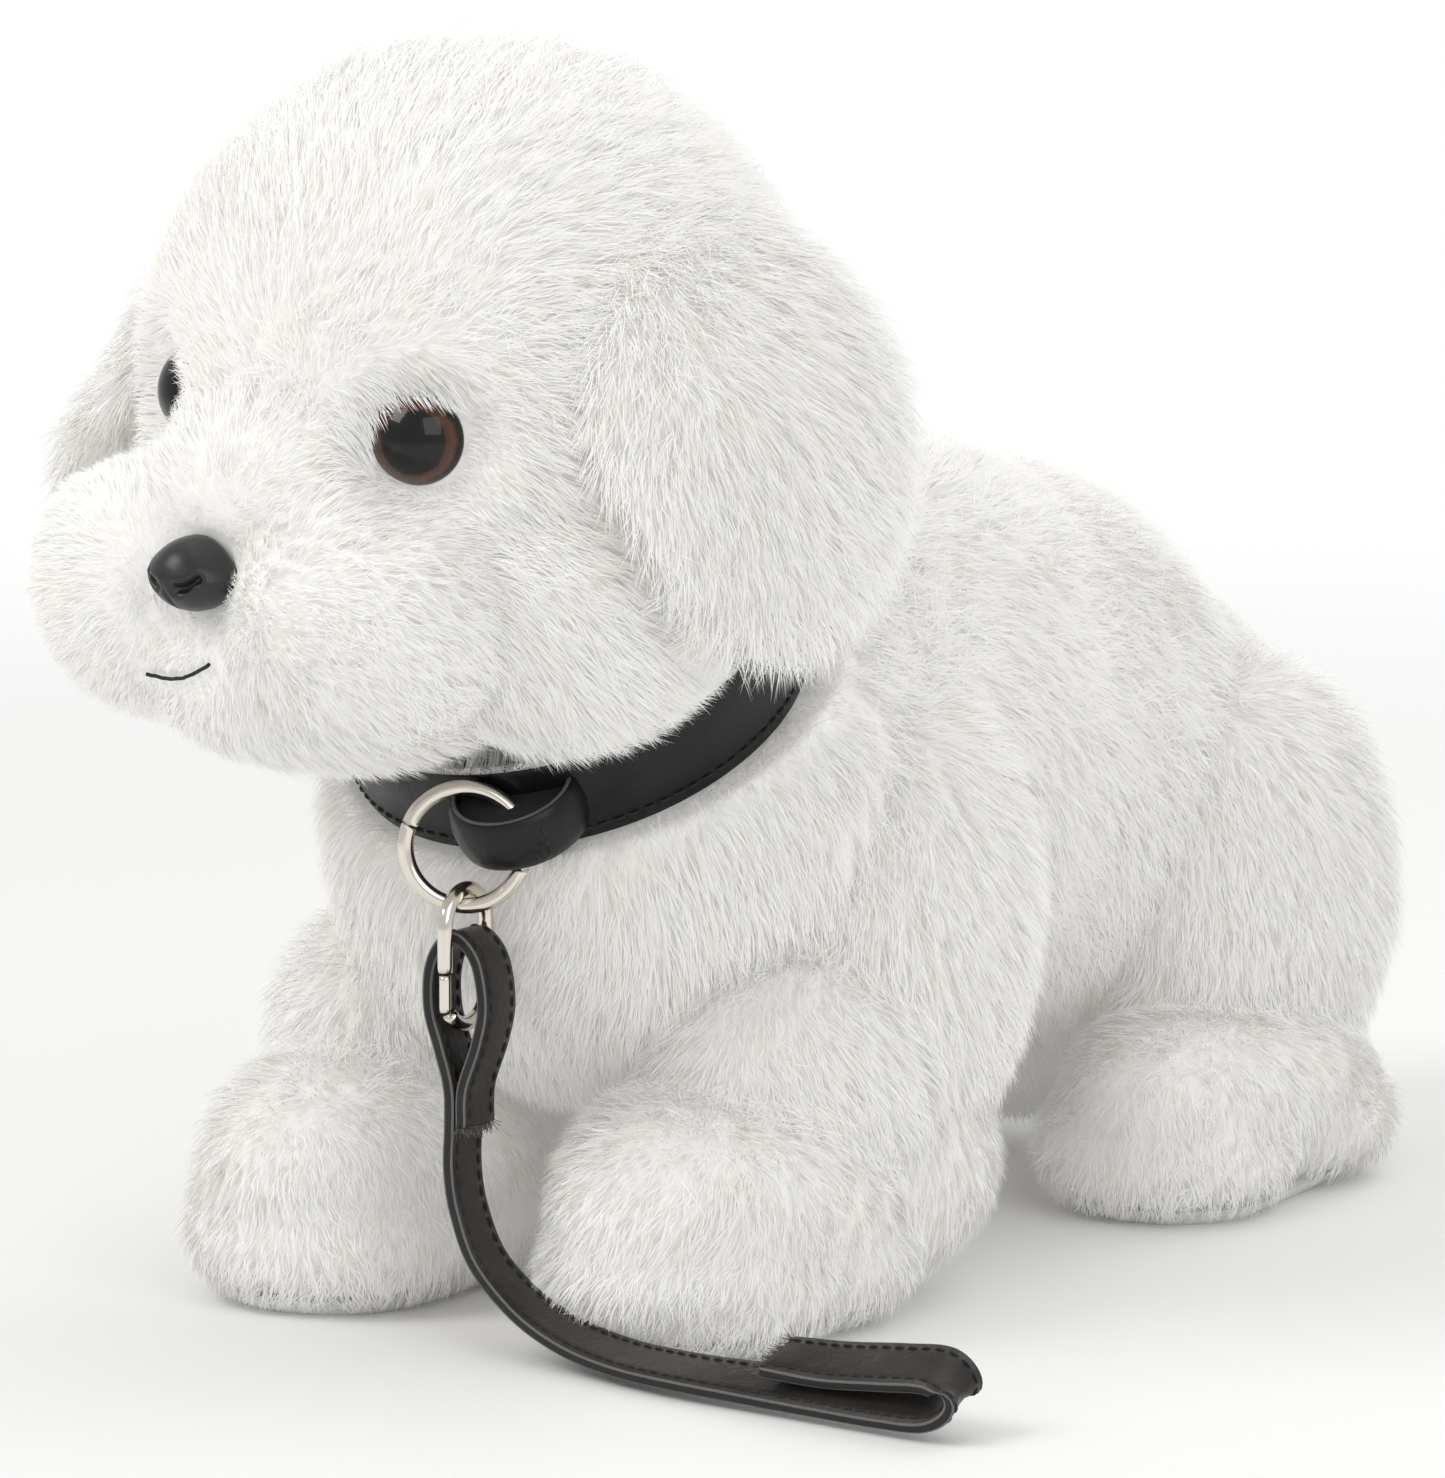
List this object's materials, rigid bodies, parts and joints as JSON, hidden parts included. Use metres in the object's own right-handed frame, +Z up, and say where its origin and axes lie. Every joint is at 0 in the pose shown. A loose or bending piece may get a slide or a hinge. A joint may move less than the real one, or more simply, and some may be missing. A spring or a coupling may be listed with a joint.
{
  "type": "plush dog",
  "caption": "Plush puppy standing on four short legs, with hanging ears, set-in eyes and nose, a strap collar with a ring, and a short leash held by a spring-gate clasp.",
  "frame": {"origin": "on the ground, under the middle of the toy without its leash", "axes": "+Z up, the toy faces -Y, its left side is +X"},
  "size_m": [0.2059, 0.3669, 0.238],
  "materials": {
    "pile_cloth": "deep white pile",
    "ear_lining": "short white pile",
    "sole_cloth": "short white pile",
    "stuffing": "polyester fibre",
    "washer": "matte",
    "eye": "gloss, brown with a black pupil",
    "nose": "satin black",
    "thread": "black sewing thread",
    "collar_leather": "black grained leather look, stitched",
    "leash_leather": "black grained leather look over felt",
    "nickel": "polished nickel plate"
  },
  "bodies": {
    "dog": {"head_side_left": "pile_cloth", "head_side_right": "pile_cloth", "cheek_left": "pile_cloth", "cheek_right": "pile_cloth", "head_gusset": "pile_cloth", "muzzle_left": "pile_cloth", "muzzle_right": "pile_cloth", "nose_bridge": "pile_cloth", "chin_panel": "pile_cloth", "head_stuffing": "stuffing", "muzzle_stuffing": "stuffing", "eye_left": "eye", "eye_right": "eye", "eye_washer_left": "washer", "eye_washer_right": "washer", "nose": "nose", "nose_washer": "washer", "mouth_stitch": "thread", "body_side_left": "pile_cloth", "body_side_right": "pile_cloth", "belly_panel": "pile_cloth", "neck_sleeve": "pile_cloth", "body_stuffing": "stuffing", "tail": "pile_cloth", "front_leg_left": "pile_cloth", "front_leg_right": "pile_cloth", "front_sole_left": "sole_cloth", "front_sole_right": "sole_cloth", "front_stuffing_left": "stuffing", "front_stuffing_right": "stuffing", "rear_leg_left": "pile_cloth", "rear_leg_right": "pile_cloth", "rear_sole_left": "sole_cloth", "rear_sole_right": "sole_cloth", "rear_stuffing_left": "stuffing", "rear_stuffing_right": "stuffing", "collar_strap": "collar_leather", "collar_keeper": "collar_leather"},
    "ear_left": {"ear_outer_left": "pile_cloth", "ear_inner_left": "ear_lining"},
    "ear_right": {"ear_outer_right": "pile_cloth", "ear_inner_right": "ear_lining"},
    "ring": {"collar_ring": "nickel"},
    "clasp": {"clasp_body": "nickel"},
    "gate": {"clasp_gate": "nickel"},
    "leash": {"leash_strap": "leash_leather", "leash_stitches": "thread", "hand_loop_stitches": "thread"}
  },
  "joints": [
    {"name": "ear_left_lift", "type": "hinge", "parent": "dog", "child": "ear_left", "pos_m": [0.05763, -0.10446, 0.21803], "axis": [-0.1562, -0.9863, -0.0523], "range_deg": [0, 60]},
    {"name": "ear_right_lift", "type": "hinge", "parent": "dog", "child": "ear_right", "pos_m": [-0.05659, -0.0869, 0.22812], "axis": [0.1562, 0.9863, 0.0523], "range_deg": [0, 60]},
    {"name": "ring_swing", "type": "hinge", "parent": "dog", "child": "ring", "pos_m": [0.0138, -0.1152, 0.1], "axis": [-0.8829, -0.4695, 0], "range_deg": [0, 6]},
    {"name": "clasp_swing", "type": "hinge", "parent": "ring", "child": "clasp", "pos_m": [0.0065, -0.1191, 0.0825], "axis": [-0.8829, -0.4695, 0], "range_deg": [0, 40]},
    {"name": "gate_open", "type": "hinge", "parent": "clasp", "child": "gate", "pos_m": [0.0065, -0.1259, 0.0636], "axis": [-1, 0, 0], "range_deg": [0, 25], "stiffness_Nm_per_rad": 0.002, "springref_deg": -11.46},
    {"name": "leash_swing", "type": "hinge", "parent": "clasp", "child": "leash", "pos_m": [0.007, -0.1191, 0.0772], "axis": [-0.3312, -0.9436, 0], "range_deg": [0, 5]}
  ]
}
